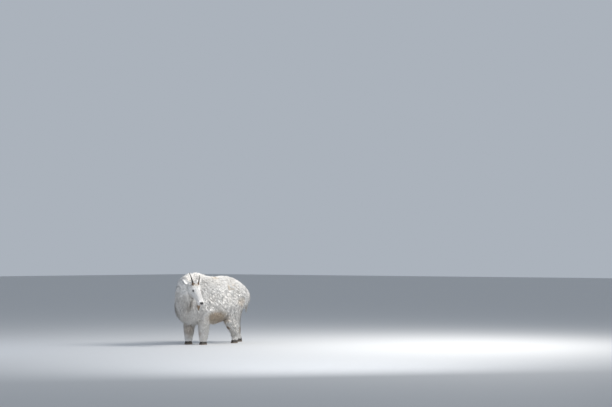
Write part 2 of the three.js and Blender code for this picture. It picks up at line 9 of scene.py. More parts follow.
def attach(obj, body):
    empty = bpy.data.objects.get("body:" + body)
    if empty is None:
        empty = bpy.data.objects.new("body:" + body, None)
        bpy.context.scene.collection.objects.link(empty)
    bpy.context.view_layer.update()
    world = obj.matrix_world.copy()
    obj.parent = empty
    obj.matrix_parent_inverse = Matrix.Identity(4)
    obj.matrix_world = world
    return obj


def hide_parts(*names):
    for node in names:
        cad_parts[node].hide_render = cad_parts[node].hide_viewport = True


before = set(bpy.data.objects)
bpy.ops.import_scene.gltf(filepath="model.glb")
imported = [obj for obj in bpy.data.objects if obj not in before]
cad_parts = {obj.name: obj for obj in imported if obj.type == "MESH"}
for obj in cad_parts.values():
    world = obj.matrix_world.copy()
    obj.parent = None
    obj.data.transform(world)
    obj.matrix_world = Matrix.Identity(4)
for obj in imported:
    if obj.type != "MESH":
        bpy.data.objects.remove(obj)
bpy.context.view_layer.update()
rng = np.random.default_rng(20)

# The camera looks at the goat's left front from 1.2 m above the ground, 24 m off through a long lens,
# and is turned so that the ground between the fore feet falls where the photograph has it.
IMAGE_WIDTH, IMAGE_HEIGHT = 612, 407
GROUND_X, GROUND_Y = 196.0, 344.5
METRES_PER_PIXEL = 0.0135
STANCE = np.array([-0.110, -0.306, 0.0])
DISTANCE = 24.0
LOOK_AZIMUTH, LOOK_ELEVATION = math.radians(45), math.radians(2.9)
SENSOR_WIDTH = 36
level = Vector((-math.sin(LOOK_AZIMUTH), math.cos(LOOK_AZIMUTH), 0))
sight = level * math.cos(LOOK_ELEVATION) - Vector((0, 0, math.sin(LOOK_ELEVATION)))
across = (GROUND_X - IMAGE_WIDTH / 2) * METRES_PER_PIXEL / DISTANCE
down = (GROUND_Y - IMAGE_HEIGHT / 2) * METRES_PER_PIXEL / DISTANCE
share = math.hypot(1, down) / math.sqrt(1 + across**2 + down**2)
pitch = math.atan(down) - math.asin(math.sin(LOOK_ELEVATION) / share)
swing = math.atan2(-across, math.cos(pitch) + down * math.sin(pitch))
heading = level * math.cos(swing) + Vector((level.y, -level.x, 0)) * math.sin(swing)
right = Vector((heading.y, -heading.x, 0))
ahead = heading * math.cos(pitch) + Vector((0, 0, math.sin(pitch)))
bpy.ops.object.camera_add(location=(0, 0, 0))
camera = bpy.context.object
camera.matrix_world = Matrix((right, right.cross(ahead), -ahead)).transposed().to_4x4()
camera.matrix_world.translation = Vector(STANCE) - sight * DISTANCE
camera.data.sensor_width = SENSOR_WIDTH
camera.data.lens = SENSOR_WIDTH * DISTANCE / (IMAGE_WIDTH * METRES_PER_PIXEL)
camera.data.clip_end = 200
bpy.context.scene.camera = camera

# The room: a plain pale floor that runs far back, a broad soft key light from the upper right, weaker
# fills from the left and from the camera's side, and an even pale sky.
FLOOR_SIZE = 120
FLOOR_GREY, FLOOR_ROUGHNESS = (0.55, 0.56, 0.57, 1), 0.8
SKY_BLUE, SKY_STRENGTH = (0.60, 0.66, 0.74, 1), 0.68
LAMP_TARGET = Vector((0, 0, 0.5))
# Each lamp is (place, power in watts, width in metres, colour)
LAMPS = [
    ((3.6, 2.4, 4.4), 400, 2.4, (1, 0.97, 0.93)),
    ((-2.5, -4.5, 2.6), 45, 3.5, (0.80, 0.86, 1)),
    ((4.8, -3.2, 2.6), 95, 3.0, (0.97, 0.98, 1)),
]
bpy.ops.mesh.primitive_plane_add(size=FLOOR_SIZE, location=(0, 0, 0))
floor = bpy.context.object
floor.name = "floor"
floor_finish = bpy.data.materials.new("pale_floor")
floor_finish.use_nodes = True
floor_finish.node_tree.nodes["Principled BSDF"].inputs["Base Color"].default_value = FLOOR_GREY
floor_finish.node_tree.nodes["Principled BSDF"].inputs["Roughness"].default_value = FLOOR_ROUGHNESS
floor.data.materials.append(floor_finish)
for at, power, wide, colour in LAMPS:
    bpy.ops.object.light_add(type="AREA", location=at)
    lamp = bpy.context.object
    lamp.data.energy = power
    lamp.data.size = wide
    lamp.data.color = colour
    lamp.rotation_euler = (LAMP_TARGET - Vector(at)).to_track_quat("-Z", "Y").to_euler()
world = bpy.data.worlds.new("even_sky")
world.use_nodes = True
world.node_tree.nodes["Background"].inputs["Color"].default_value = SKY_BLUE
world.node_tree.nodes["Background"].inputs["Strength"].default_value = SKY_STRENGTH
bpy.context.scene.world = world
bpy.context.scene.view_settings.view_transform = "Standard"


# The hide. One skin of the whole animal, drawn over the same sections as the solids but in by the
# depth of their cores, so that the coat has room to grow. The body is lofted in lengths that are
# fused by remeshing, and the head and ears are drawn finely and set into the neck.
TOPLINE = [(-335, 640), (-300, 770), (-240, 880), (-165, 938), (-90, 958), (0, 964), (100, 948),
           (220, 920), (330, 914), (500, 930), (650, 908), (770, 862), (860, 808), (930, 742), (985, 665)]
UNDERLINE = [(-335, 500), (-300, 405), (-240, 345), (-180, 312), (-100, 296), (0, 284), (150, 272),
             (330, 280), (500, 322), (650, 385), (770, 436), (860, 480), (930, 545), (985, 610)]
GIRTH_HALF = [(-335, 30), (-300, 112), (-240, 158), (-180, 180), (-100, 194), (0, 200), (150, 200),
              (330, 206), (500, 204), (650, 198), (770, 184), (860, 158), (930, 124), (985, 52)]
BACK_COAT = [(-335, 60), (-90, 92), (60, 90), (250, 54), (600, 50), (985, 44)]
FLANK_COAT = [(-335, 20), (-240, 70), (-100, 54), (150, 46), (500, 48), (800, 50), (985, 20)]
BELLY_COAT = [(-335, 60), (-120, 110), (300, 112), (600, 100), (800, 60), (985, 30)]
NECK_LINE = [(0, 60, 640), (-25, -95, 682), (5, -208, 712), (92, -290, 742), (216, -296, 762)]
NECK_CREST = [(0, 250), (0.3, 258), (0.55, 212), (0.8, 138), (1, 82)]
NECK_THROAT = [(0, 240), (0.3, 292), (0.55, 276), (0.8, 186), (1, 96)]
NECK_HALF = [(0, 150), (0.3, 156), (0.55, 134), (0.8, 106), (1, 76)]
CREST_COAT = [(0, 80), (0.5, 78), (1, 30)]
THROAT_COAT = [(0, 90), (0.5, 104), (1, 36)]
SIDE_COAT = [(0, 50), (0.5, 50), (1, 18)]
# The head is measured from the middle between the horns, forward, up and left
HORN_MIDDLE = np.array([284.0, -296.0, 816.0])
HEAD_TURN, HEAD_DROP, HEAD_SCALE = math.radians(74), math.radians(39), 1.06
FACE_TOP = [(-86, -60), (-58, -16), (-20, 2), (25, 2), (70, -8), (120, -22), (170, -34), (215, -43),
            (250, -54), (275, -70), (288, -88)]
JAW_LINE = [(-86, -92), (-58, -128), (-15, -152), (35, -156), (90, -146), (140, -134), (190, -126),
            (230, -127), (258, -123), (278, -110), (288, -97)]
HEAD_HALF = [(-86, 20), (-58, 54), (-10, 66), (45, 67), (85, 59), (130, 49), (175, 43), (215, 42),
             (245, 41), (270, 33), (288, 11)]
HEAD_COAT = [(-86, 10), (60, 6), (180, 3.5), (288, 2)]
# Where each foot stands, and each leg's (height, set back, half width, half length, depth of coat)
FEET = {"foreleg_left": (114, 20), "foreleg_right": (-114, -30), "hindleg_left": (118, 620),
        "hindleg_right": (-118, 955)}
FORE_LEG = [(50, 0, 42, 50, 6), (66, 2, 48, 56, 12), (100, 5, 58, 66, 24), (150, 8, 65, 74, 30),
            (210, 10, 71, 82, 36), (270, 14, 75, 88, 40), (340, 20, 76, 92, 44), (410, 28, 74, 94, 46),
            (490, 38, 68, 92, 40), (600, 45, 50, 74, 25)]
HIND_LEG = [(50, 0, 40, 46, 6), (66, 4, 44, 52, 10), (100, 10, 50, 58, 16), (150, 8, 58, 72, 26),
            (200, -12, 68, 96, 40), (250, -42, 76, 110, 46), (310, -66, 84, 126, 50),
            (370, -76, 90, 136, 52), (430, -66, 94, 142, 52), (510, -44, 92, 138, 46),
            (600, -16, 76, 124, 34)]
STRIDE_TOP, HIP_BACK = 640, 700
LEG_LOW = 40
TAIL_LINE = [(0, 905, 742), (0, 962, 716), (0, 984, 640), (0, 984, 540), (0, 978, 430)]
TAIL_HALF = [(0, 34), (0.3, 40), (0.6, 34), (0.85, 20), (1, 5)]
TAIL_THICK = [(0, 26), (0.3, 28), (0.6, 24), (0.85, 15), (1, 4)]
TAIL_COAT_SHARE = 0.6
SKIN_DEPTH = 0.62
BODY_VOXEL = 0.0095
UPWARD = np.array([0.0, 0.0, 1.0])
SIDEWAYS = np.array([1.0, 0.0, 0.0])
BACKWARD = np.array([0.0, 1.0, 0.0])


def sized(pairs, place):
    """A smooth line through (place, size) pairs."""
    xs, ys = np.array(pairs, float).T
    slopes = np.empty(len(xs))
    slopes[1:-1] = (ys[2:] - ys[:-2]) / (xs[2:] - xs[:-2])
    slopes[0] = (ys[1] - ys[0]) / (xs[1] - xs[0])
    slopes[-1] = (ys[-1] - ys[-2]) / (xs[-1] - xs[-2])
    s = np.clip(np.asarray(place, float), xs[0], xs[-1])
    i = np.clip(np.searchsorted(xs, s, side="left") - 1, 0, len(xs) - 2)
    width = xs[i + 1] - xs[i]
    t = (s - xs[i]) / width
    rise = t * t * (3 - 2 * t)
    bend = t * (1 - t) ** 2 * width * slopes[i] + t * t * (t - 1) * width * slopes[i + 1]
    return ys[i] + (ys[i + 1] - ys[i]) * rise + bend


def unit(v):
    return v / np.maximum(np.linalg.norm(v, axis=-1, keepdims=True), 1e-9)


def curve_at(line, along):
    """Places on a centripetal curve through the points of a line, from 0 to 1."""
    p = np.array(line, float)
    p = np.vstack([2 * p[0] - p[1], p, 2 * p[-1] - p[-2]])
    t = np.clip(np.asarray(along, float), 0, 1) * (len(p) - 3)
    i = np.minimum(t.astype(int), len(p) - 4)
    w = (t - i)[..., None]
    before, start, end, after = p[i], p[i + 1], p[i + 2], p[i + 3]
    steps = (start - before, end - start, after - end)
    near, own, far = [np.sqrt(np.linalg.norm(step, axis=-1, keepdims=True)) for step in steps]
    leave = (steps[0] / near - (end - before) / (near + own) + steps[1] / own) * own
    arrive = (steps[1] / own - (after - start) / (own + far) + steps[2] / far) * own
    square = 3 * (end - start) - 2 * leave - arrive
    return start + leave * w + square * w**2 + (2 * (start - end) + leave + arrive) * w**3


def tangent_at(line, along):
    t = np.clip(np.asarray(along, float), 0.001, 0.999)
    return unit(curve_at(line, t + 0.001) - curve_at(line, t - 0.001))


def around(at, side, up, top, bottom, half, angle, wide=0.5, crown=1.0, keel=1.0):
    """Points of rounded sections at angles in degrees: 0 is the left side and 90 the top. wide is how
    far up the section is widest, and a crown or keel below 1 fills out its upper or lower half."""
    c, s = np.cos(np.radians(angle)), np.sin(np.radians(angle))
    middle = bottom + (top - bottom) * wide
    across = half * np.sign(c) * np.abs(c) ** np.where(s > 0, crown, keel)
    high = middle + np.where(s > 0, top - middle, middle - bottom) * s
    return at + across[..., None] * side + high[..., None] * up


# Each surface gives points of one length of the body, at a place along it, an angle round it and a
# depth that is 0 at the tips of the coat and 1 at its roots
def trunk(u, angle, depth):
    at = np.zeros(np.shape(u) + (3,))
    at[..., 1] = np.clip(u, TOPLINE[0][0], TOPLINE[-1][0])
    return around(
        at, SIDEWAYS, UPWARD,
        sized(TOPLINE, u) - depth * sized(BACK_COAT, u),
        sized(UNDERLINE, u) + depth * sized(BELLY_COAT, u),
        sized(GIRTH_HALF, u) - depth * sized(FLANK_COAT, u),
        angle, wide=0.46, crown=0.92, keel=0.86,
    )


def neck(u, angle, depth):
    ahead = tangent_at(NECK_LINE, u)
    side = unit(np.cross(UPWARD, ahead))
    return around(
        curve_at(NECK_LINE, u), side, np.cross(ahead, side),
        sized(NECK_CREST, u) - depth * sized(CREST_COAT, u),
        depth * sized(THROAT_COAT, u) - sized(NECK_THROAT, u),
        sized(NECK_HALF, u) - depth * sized(SIDE_COAT, u),
        angle, wide=0.46,
    )


AHEAD = np.array([math.sin(HEAD_TURN), -math.cos(HEAD_TURN), 0.0])
HEAD_FORWARD = AHEAD * math.cos(HEAD_DROP) - UPWARD * math.sin(HEAD_DROP)
HEAD_LEFT = np.array([math.cos(HEAD_TURN), math.sin(HEAD_TURN), 0.0])
HEAD_UP = np.cross(HEAD_FORWARD, HEAD_LEFT)


def head_point(forward, up, left):
    parts = [np.asarray(x, float)[..., None] * HEAD_SCALE for x in (forward, up, left)]
    return HORN_MIDDLE + parts[0] * HEAD_FORWARD + parts[1] * HEAD_UP + parts[2] * HEAD_LEFT


def in_head(points):
    """Distances forward, up and left of the horns, in the head's own units."""
    d = (points - HORN_MIDDLE) / HEAD_SCALE
    return d @ HEAD_FORWARD, d @ HEAD_UP, d @ HEAD_LEFT


def head(u, angle, depth):
    inset = depth * np.interp(u, *zip(*HEAD_COAT))
    return around(
        head_point(u, 0 * u, 0 * u), HEAD_LEFT, HEAD_UP,
        (sized(FACE_TOP, u) - inset) * HEAD_SCALE,
        (sized(JAW_LINE, u) + inset) * HEAD_SCALE,
        (sized(HEAD_HALF, u) - inset) * HEAD_SCALE,
        angle, wide=0.56, crown=0.86, keel=0.92,
    )


def leg(name):
    hind = name.startswith("hind")
    rows = HIND_LEG if hind else FORE_LEG
    foot = FEET[name]
    column = [[(row[0], row[i]) for row in rows] for i in range(5)]

    def surface(u, angle, depth):
        hip = HIP_BACK if hind else foot[1]
        coat_depth = sized(column[4], u) * depth
        at = np.zeros(np.shape(u) + (3,))
        at[..., 0] = foot[0]
        at[..., 1] = foot[1] + (hip - foot[1]) * np.minimum(u / STRIDE_TOP, 1) + sized(column[1], u)
        at[..., 2] = np.maximum(u, LEG_LOW)
        long = sized(column[3], u) - coat_depth
        return around(at, SIDEWAYS, BACKWARD, long, -long, sized(column[2], u) - coat_depth, angle)

    return surface


def tail(u, angle, depth):
    ahead = tangent_at(TAIL_LINE, u)
    thin = 1 - TAIL_COAT_SHARE * depth
    thick = sized(TAIL_THICK, u) * thin
    return around(
        curve_at(TAIL_LINE, u), SIDEWAYS, unit(np.cross(SIDEWAYS, ahead)), thick, -thick,
        sized(TAIL_HALF, u) * thin, angle,
    )


def metres(points):
    return points / 1000 + STANCE


def select(*objs):
    bpy.ops.object.select_all(action="DESELECT")
    for obj in objs:
        obj.select_set(True)
    bpy.context.view_layer.objects.active = objs[0]


def join(name, objs):
    select(*objs)
    bpy.ops.object.join()
    objs[0].name = name
    return objs[0]


def loft(name, grid):
    """A closed skin over rings of points, given as an array of rings, sides and x, y, z in metres."""
    rings, sides = grid.shape[:2]
    points = np.vstack([grid.reshape(-1, 3), grid[0].mean(0), grid[-1].mean(0)])
    faces = []
    for r in range(rings - 1):
        for s in range(sides):
            n = (s + 1) % sides
            faces.append((r * sides + s, r * sides + n, (r + 1) * sides + n, (r + 1) * sides + s))
    for s in range(sides):
        n = (s + 1) % sides
        faces.append((n, s, rings * sides))
        faces.append(((rings - 1) * sides + s, (rings - 1) * sides + n, rings * sides + 1))
    mesh = bpy.data.meshes.new(name)
    mesh.from_pydata(points.tolist(), [], faces)
    obj = bpy.data.objects.new(name, mesh)
    bpy.context.collection.objects.link(obj)
    select(obj)
    bpy.ops.object.mode_set(mode="EDIT")
    bpy.ops.mesh.select_all(action="SELECT")
    bpy.ops.mesh.normals_make_consistent(inside=False)
    bpy.ops.object.mode_set(mode="OBJECT")
    return obj


def rings_of(surface, places, sides, depth):
    u, a = np.meshgrid(np.asarray(places, float), np.arange(sides) * 360 / sides, indexing="ij")
    return surface(u, a, depth)


def skin_of(name, surface, span, rings, sides):
    return loft(name, metres(rings_of(surface, np.linspace(*span, rings), sides, SKIN_DEPTH)))


lengths = [
    skin_of("trunk_skin", trunk, (-328, 980), rings=60, sides=64),
    skin_of("neck_skin", neck, (0, 1), rings=24, sides=48),
    skin_of("tail_skin", tail, (0, 0.8), rings=16, sides=16),
]
for name in FEET:
    lengths.append(skin_of(name + "_skin", leg(name), (50, 600), rings=30, sides=28))
hide = join("goat_skin", lengths)
select(hide)
hide.data.remesh_voxel_size = BODY_VOXEL
bpy.ops.object.voxel_remesh()
smooth = hide.modifiers.new("soften", "SMOOTH")
smooth.iterations = 6
bpy.ops.object.modifier_apply(modifier="soften")

# The head's part of the hide. Thin skin lies close on the bone here, so the folds of the face are
# raised from a smooth form or pressed into it: lips, lids, brow, cheek, nostrils and chin.
EYE_PLACE = (76, -42, 44)
LID_MIDDLE, LID_RISE, SOCKET_DEPTH = 17, 4.2, 7
MOUTH_CORNER, MOUTH_UP, MOUTH_SLOPE = 192, -100, 0.035
LIP_RISE, MOUTH_CUT = 2.2, 6.5
NOSTRIL, NOSTRIL_DEPTH, NOSTRIL_WING = (268, -76, 24), 8.5, 2.4
CHIN, CHIN_RISE = (262, -126), 10
LIP_CLEFT = 2.2
# Brow, cheek and the hollow before the eye: (height, (forward, up) of the middle, (forward, up) reach)
FACE_FOLDS = [(5, (62, -18), (22, 10)), (4, (105, -78), (26, 14)), (-3, (128, -48), (30, 12))]
u, a = np.meshgrid(np.linspace(-84, 287, 150), np.arange(120) * 3.0, indexing="ij")
face = head(u, a, 1.0)
outward = unit(head(u, a, 0.0) - head(u, a, 1.0))
forward, up, left = in_head(face)


def swell(*terms):
    """1 where every term is 0, and less the further any of them is from 0."""
    return np.exp(-sum(term**2 for term in terms))


above_mouth = up - MOUTH_UP - (forward - 200) * MOUTH_SLOPE
lips = LIP_RISE * swell(above_mouth / 9) - MOUTH_CUT * swell(above_mouth / 2.1)
press = np.clip((forward - MOUTH_CORNER) / 14, 0, 1) * lips
press += CHIN_RISE * swell((forward - CHIN[0]) / 26, (up - CHIN[1]) / 16)
cleft = np.clip((forward - 262) / 8, 0, 1) * np.clip((up + 101) / 6, 0, 1)
press -= LIP_CLEFT * swell(left / 2.5) * cleft
for s in (1, -1):
    side = np.clip(s * left / 8, 0, 1)
    from_eye = np.hypot(forward - EYE_PLACE[0], (up - EYE_PLACE[1]) * 1.35)
    press += side * (LID_RISE * swell((from_eye - LID_MIDDLE) / 5) - SOCKET_DEPTH * swell(from_eye / 11))
    for height, middle, extent in FACE_FOLDS:
        press += side * height * swell((forward - middle[0]) / extent[0], (up - middle[1]) / extent[1])
    ahead, above, beside = forward - NOSTRIL[0], up - NOSTRIL[1], s * left - NOSTRIL[2]
    press -= NOSTRIL_DEPTH * swell((ahead * 0.62 - above * 0.78) / 4, (ahead + above) / 13, beside / 11)
    press += NOSTRIL_WING * swell((ahead + 10) / 8, (above - 8) / 9, (beside - 3) / 12)
head_skin = loft("head_skin", metres(face + press[..., None] * outward))

# The ears' part of the hide: leaves of gristle and thin skin, hollowed in front to a cup. They stand
# out and up from the poll, and their roots are sunk in the head.
EAR_LENGTH, EAR_HALF, EAR_DEEP, EAR_COAT = 118, 27, 13, 1.5
EAR_ROOT = (-44, -42, 50)
EAR_HOLLOW = 1.75


def ear(s):
    """The surface of one ear: s is 1 for the left and -1 for the right."""
    root = head_point(EAR_ROOT[0], EAR_ROOT[1], s * EAR_ROOT[2])
    way = unit(HEAD_LEFT * s * 0.72 - AHEAD * 0.3 + UPWARD * 0.62)
    opening = unit(AHEAD - way * (AHEAD @ way))
    across = np.cross(opening, way)

    def surface(u, angle, depth):
        width = EAR_HALF * np.sin(np.pi * (0.2 + 0.78 * u)) - EAR_COAT * depth
        deep = EAR_DEEP * np.sin(np.pi * (0.25 + 0.72 * u)) - EAR_COAT * depth
        c, r = np.cos(np.radians(angle)), np.sin(np.radians(angle))
        cup = np.clip((u - 0.12) / 0.2, 0, 1) * np.clip((1.02 - u) / 0.2, 0, 1)
        lift = np.where(r > 0, r * (1 - EAR_HOLLOW * cup * r), r) * deep
        middle = root + EAR_LENGTH * u[..., None] * way
        return middle + (width * c)[..., None] * across + lift[..., None] * opening

    return surface


ears = [loft("ear_skin", metres(rings_of(ear(s), np.linspace(-0.12, 0.985, 30), 32, 1.0))) for s in (1, -1)]
hide = join("goat_skin", [hide, head_skin, *ears])
select(hide)
bpy.ops.object.shade_smooth()
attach(hide, "root")
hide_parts("torso", "neck", "head", "beard", "tail", "ear_left", "ear_right", *FEET)

# The finish shared by hide and coat: warm white wool, greyer and yellower in soft patches, with tan and
# brown marks: stains along the back, round the hips and low on the front of the near hind leg, brown low
# on the belly and under the chin, and painted shade down the far legs and low on the back of the near
# hind leg. All are fixed in the animal's own space so that both carry the same marks.
WOOL_WHITE = (0.88, 0.865, 0.84, 1)
WOOL_SHADE = (0.72, 0.675, 0.61, 1)
# Brown of stains, also used for painted shade down the far legs and low on the back of the near hind leg
STAIN_AND_SHADE_BROWN = (0.36, 0.24, 0.13, 1)
STAIN_TAN = (0.60, 0.46, 0.30, 1)
SKIN_BLACK = (0.018, 0.016, 0.017, 1)
LIP_PINK = (0.62, 0.47, 0.44, 1)
WOOL_SHINE, WOOL_SHEEN = 0.2, 0.15
# Each mark of the body is (middle in millimetres from the stance, radii, colour, strength)
MARKS = [
    # Tan and brown low on the belly and lower flank
    ((60, 250, 350), (260, 290, 130), STAIN_TAN, 0.62),
    ((150, 240, 370), (110, 190, 80), STAIN_AND_SHADE_BROWN, 0.4),
    ((60, 400, 310), (170, 150, 60), STAIN_AND_SHADE_BROWN, 0.4),
    ((60, 500, 290), (60, 50, 90), STAIN_TAN, 0.6),
    # Stains along the back and round the hip and thigh
    ((90, 310, 905), (70, 110, 34), STAIN_TAN, 0.6),
    ((190, 560, 800), (40, 80, 30), STAIN_TAN, 0.5),
    ((185, 460, 770), (40, 34, 60), STAIN_TAN, 0.5),
    ((190, 520, 740), (50, 60, 16), STAIN_TAN, 0.4),
    ((210, 700, 560), (90, 120, 80), STAIN_TAN, 0.35),
    # A dark stain with a black middle low on the front of the near hind leg
    ((100, 512, 205), (50, 40, 34), STAIN_AND_SHADE_BROWN, 0.9),
    ((104, 508, 205), (34, 24, 18), SKIN_BLACK, 0.6),
    # The next three are painted shade in brown: low on the outer back of the near hind leg, down the far hind
    # leg and down the far foreleg
    ((160, 690, 190), (50, 50, 75), STAIN_AND_SHADE_BROWN, 0.5),
    ((-90, 900, 200), (70, 90, 100), STAIN_AND_SHADE_BROWN, 0.6),
    ((-90, -50, 230), (90, 80, 170), STAIN_AND_SHADE_BROWN, 0.42),
    ((100, -50, 150), (50, 40, 50), STAIN_AND_SHADE_BROWN, 0.3),
    ((85, 942, 610), (60, 34, 110), STAIN_AND_SHADE_BROWN, 0.8),
    ((120, -260, 560), (120, 60, 160), STAIN_TAN, 0.16),
]
# Each mark of the face is (middle forward, up and left of the horns, radii along forward, left and up,
# colour, strength, raggedness of the edge)
FACE_MARKS = [
    # The first is brown under the chin and over the beard
    ((248, -182, 0), (62, 50, 62), STAIN_AND_SHADE_BROWN, 0.92, 0.5),
    ((14, -2, 0), (30, 56, 24), STAIN_TAN, 0.45, 0.4),
    ((276, -110, 0), (30, 36, 12), LIP_PINK, 0.6, 0.2),
    ((250, -99, 0), (56, 54, 4.5), SKIN_BLACK, 0.95, 0.1),
    ((272, -128, 0), (34, 40, 10), SKIN_BLACK, 0.92, 0.2),
    ((294, -112, 0), (10, 16, 30), SKIN_BLACK, 0.9, 0.2),
    ((282, -76, 0), (31, 46, 20), SKIN_BLACK, 0.98, 0.12),
    ((EYE_PLACE[0], EYE_PLACE[1], 50), (25, 20, 16), SKIN_BLACK, 0.97, 0.12),
    ((EYE_PLACE[0], EYE_PLACE[1], -50), (25, 20, 16), SKIN_BLACK, 0.97, 0.12),
]
FACE_TURN = Matrix((HEAD_FORWARD, HEAD_LEFT, HEAD_UP)).transposed().to_euler()
NO_TURN = (0, 0, 0)


class Finish:
    """A material on Object coordinates, with the steps that all the finishes share."""

    def __init__(self, name, roughness, specular):
        self.material = bpy.data.materials.new(name)
        self.material.use_nodes = True
        self.nodes, self.links = self.material.node_tree.nodes, self.material.node_tree.links
        self.shader = self.nodes["Principled BSDF"]
        self.shader.inputs["Roughness"].default_value = roughness
        self.shader.inputs["Specular IOR Level"].default_value = specular
        self.place = self.nodes.new("ShaderNodeTexCoord").outputs["Object"]
        self.fine = self.noise(38, 3)

    def noise(self, scale, detail, where=None):
        node = self.nodes.new("ShaderNodeTexNoise")
        node.inputs["Scale"].default_value = scale
        node.inputs["Detail"].default_value = detail
        self.links.new(where or self.place, node.inputs["Vector"])
        return node.outputs["Fac"]

    def ranged(self, value, low, high, to_low, to_high):
        node = self.nodes.new("ShaderNodeMapRange")
        for i, limit in enumerate((low, high, to_low, to_high)):
            node.inputs[i + 1].default_value = limit
        self.links.new(value, node.inputs[0])
        return node.outputs[0]

    def mixed(self, factor, base, colour):
        node = self.nodes.new("ShaderNodeMix")
        node.data_type = "RGBA"
        self.links.new(factor, node.inputs[0])
        if isinstance(base, tuple):
            node.inputs[6].default_value = base
        else:
            self.links.new(base, node.inputs[6])
        node.inputs[7].default_value = colour
        return node.outputs[2]

    def inside(self, middle, radii, turn):
        """Object coordinates measured from a middle, along turned axes, in shares of the radii."""
        mapping = self.nodes.new("ShaderNodeMapping")
        mapping.vector_type = "TEXTURE"
        mapping.inputs["Location"].default_value = middle
        mapping.inputs["Rotation"].default_value = turn
        mapping.inputs["Scale"].default_value = radii
        self.links.new(self.place, mapping.inputs["Vector"])
        return mapping.outputs[0]

    def distance(self, middle, radii, turn):
        """How far out in an ellipsoid a point lies: 0 at its middle and 1 on its surface."""
        node = self.nodes.new("ShaderNodeVectorMath")
        node.operation = "LENGTH"
        self.links.new(self.inside(middle, radii, turn), node.inputs[0])
        return node.outputs["Value"]

    def mark(self, base, middle, radii, turn, colour, strength, rough=0.55):
        """An ellipsoid of colour whose edge is broken by noise."""
        ragged = self.nodes.new("ShaderNodeMath")
        ragged.operation = "MULTIPLY_ADD"
        self.links.new(self.fine, ragged.inputs[0])
        ragged.inputs[1].default_value = rough
        self.links.new(self.distance(middle, radii, turn), ragged.inputs[2])
        covering = self.ranged(ragged.outputs[0], 0.55 + rough / 2, 1 + rough / 2, strength, 0)
        return self.mixed(covering, base, colour)

    def done(self, colour, height, strength, deep):
        """The material, in this colour and with this height as fine relief."""
        self.links.new(colour, self.shader.inputs["Base Color"])
        grain = self.nodes.new("ShaderNodeBump")
        grain.inputs["Strength"].default_value = strength
        grain.inputs["Distance"].default_value = deep
        self.links.new(height, grain.inputs["Height"])
        self.links.new(grain.outputs[0], self.shader.inputs["Normal"])
        return self.material


def wool_finish(name, roughness, relief):
    """Wool in soft broad and fine patches, then the marks of the body, then those of the face."""
    paint = Finish(name, roughness, WOOL_SHINE)
    paint.shader.inputs["Sheen Weight"].default_value = WOOL_SHEEN
    colour = paint.mixed(paint.ranged(paint.noise(5.5, 4), 0.45, 0.7, 0, 0.45), WOOL_WHITE, WOOL_SHADE)
    colour = paint.mixed(paint.ranged(paint.noise(90, 2), 0.5, 0.75, 0, 0.22), colour, WOOL_SHADE)
    for middle, radii, tint, strength in MARKS:
        at = tuple(metres(np.array(middle, float)))
        colour = paint.mark(colour, at, tuple(np.array(radii) / 1000), NO_TURN, tint, strength)
    for place, radii, tint, strength, rough in FACE_MARKS:
        at = tuple(metres(head_point(*place)))
        scale = tuple(HEAD_SCALE * radius / 1000 for radius in radii)
        colour = paint.mark(colour, at, scale, FACE_TURN, tint, strength, rough)
    return paint.done(colour, paint.noise(420, 3), relief, 0.003)


hide.data.materials.clear()
hide.data.materials.append(wool_finish("goat_hide", roughness=0.8, relief=0.6))
wool = wool_finish("goat_wool", roughness=0.72, relief=0.25)

# The coat: guard hair and wool gathered into thin flat tufts that taper, bend and overlap down the
# lie, rooted on the hide. Neighbouring tufts lean together into locks. Each length of the coat is one
# joined mesh, and each tuft's patch on the map lies where it is rooted on the unrolled surface.
TUFT_STEPS = (0.0, 0.52, 1.0)
TUFT_TAPER = (0.85, 0.95)
ROOT_DEPTH = SKIN_DEPTH + 0.12
LENGTH_SPREAD, WIDTH_SPREAD = (0.7, 1.18), (0.7, 1.3)
SWAY_REACH, LENGTH_REACH = 60, 110
FLOOR_CLEAR = 0.004
MAP_EDGE = 0.01
TUFT_PATCH = 0.003
# A tuft has a ring of three points at its root, another half way and one point at its tip
TUFT_SPOT = np.array([(0.5, 0), (0, 0.2), (-0.5, 0), (0.5, 0.5), (0, 0.6), (-0.5, 0.5), (0, 1)])
TUFT_SIDES = ((0, 1), (1, 2), (2, 0))
TUFT_FACES = [(0, 2, 1)] + [(3 + k, 3 + n, 6) for k, n in TUFT_SIDES]
for k, n in TUFT_SIDES:
    TUFT_FACES += [(k, n, 3 + n), (k, 3 + n, 3 + k)]


def smooth_noise(points, scale, seed):
    """Four soft waves through space, mostly between -1 and 1."""
    draw_waves = np.random.default_rng(seed)
    total = np.zeros(points.shape[:-1])
    for _ in range(4):
        wave = draw_waves.normal(size=3) / scale
        total += np.sin(points @ wave + draw_waves.uniform(0, 6.28))
    return total / 2.2


def roots_on(surface, count, span, angles, keep):
    """Roots spread evenly by area: their places along the surface, their angles and their points."""
    u = rng.uniform(*span, count)
    a = rng.uniform(*angles, count)
    root = surface(u, a, 1.0)
    step = (span[1] - span[0]) * 0.004
    nearer, further = (surface(np.clip(u + d, *span), a, 0.5) for d in (-step, step))
    wide = np.linalg.norm(surface(u, a + 1.0, 0.5) - surface(u, a - 1.0, 0.5), axis=1)
    area = wide * np.linalg.norm(further - nearer, axis=1)
    keeping = rng.uniform(0, 1, count) < area / np.percentile(area, 90)
    if keep is not None:
        keeping &= keep(root)
    return u[keeping], a[keeping], root[keeping]


def locks_of(u, a, long, wide):
    """The middle of the lock that each tuft belongs to, and a number that varies by the lock."""
    row = np.floor(u / long)
    column = np.floor((a + (row % 2) * wide / 2) / wide)
    jitter = np.modf(np.abs(np.sin(row * 12.9 + column * 78.2)) * 437.5)[0] - 0.5
    goal_u = (row + 0.5 + 0.5 * jitter) * long
    goal_a = (column + 0.5 - (row % 2) / 2 + 0.5 * jitter) * wide
    return goal_u, goal_a, jitter


